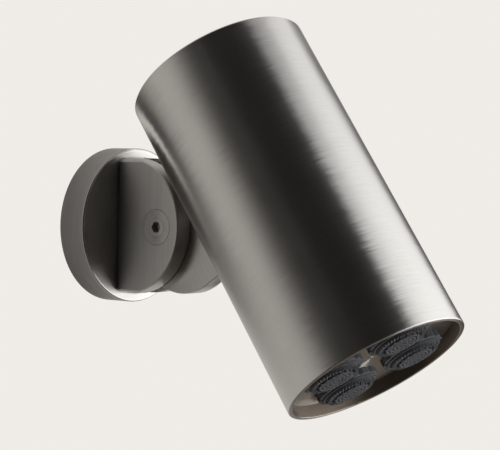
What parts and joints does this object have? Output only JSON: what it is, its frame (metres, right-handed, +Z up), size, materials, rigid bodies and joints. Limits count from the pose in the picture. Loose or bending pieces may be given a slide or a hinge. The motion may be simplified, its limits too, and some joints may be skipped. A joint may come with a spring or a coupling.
{
  "type": "wall-mounted shower head",
  "caption": "Cylindrical brushed steel shower head with jets set in its open lower end, tilting on a forked wall disc.",
  "frame": {"origin": "centre of the wall disc's back face, on the wall and on the axis of the inlet thread", "axes": "+Y into the wall along the inlet thread, +Z up, +X along the hinge; the head hangs out on the -Y side"},
  "size_m": [0.07, 0.1713, 0.1468],
  "materials": {
    "wall_bracket": "vertical brushing on the fork, turned lines on the disc",
    "tube_shell": "fine brushing round the tube",
    "turned_steel": "concentric turned lines",
    "tab_steel": "fine straight brushing",
    "screw_steel": "turned head, plain shank",
    "brass": "plain machined",
    "jet_plastic": "dark blue-grey moulded, fine grain",
    "inner_plastic": "moulded, plain",
    "rubber": "black, smooth",
    "hose": "translucent grey, smooth"
  },
  "bodies": {
    "wall_mount": {"wall_bracket": "wall_bracket", "wall_gasket": "rubber", "inlet_nipple": "brass", "nipple_seal": "rubber", "flow_regulator": "inner_plastic", "inlet_filter": "inner_plastic", "pivot_screw": "screw_steel", "pivot_bush": "brass", "bush_seals": "rubber", "friction_washers": "inner_plastic"},
    "head": {"hinge_tab": "tab_steel", "port_saddle": "brass", "saddle_gasket": "rubber", "tab_screws": "screw_steel", "feed_hose": "hose", "hose_clips": "screw_steel", "tube_shell": "tube_shell", "top_cap": "turned_steel", "cap_seal": "rubber", "nozzle_plate": "turned_steel", "plate_seal": "rubber", "manifold": "inner_plastic", "manifold_gasket": "rubber", "manifold_screws": "screw_steel", "jet_housings": "jet_plastic", "jet_cores": "jet_plastic", "jet_seals": "rubber", "jet_screens": "inner_plastic"}
  },
  "joints": [
    {"name": "head_tilt", "type": "hinge", "parent": "wall_mount", "child": "head", "pos_m": [0, -0.0322, 0], "axis": [-1, 0, 0], "range_deg": [-35.5, 9.5]}
  ]
}
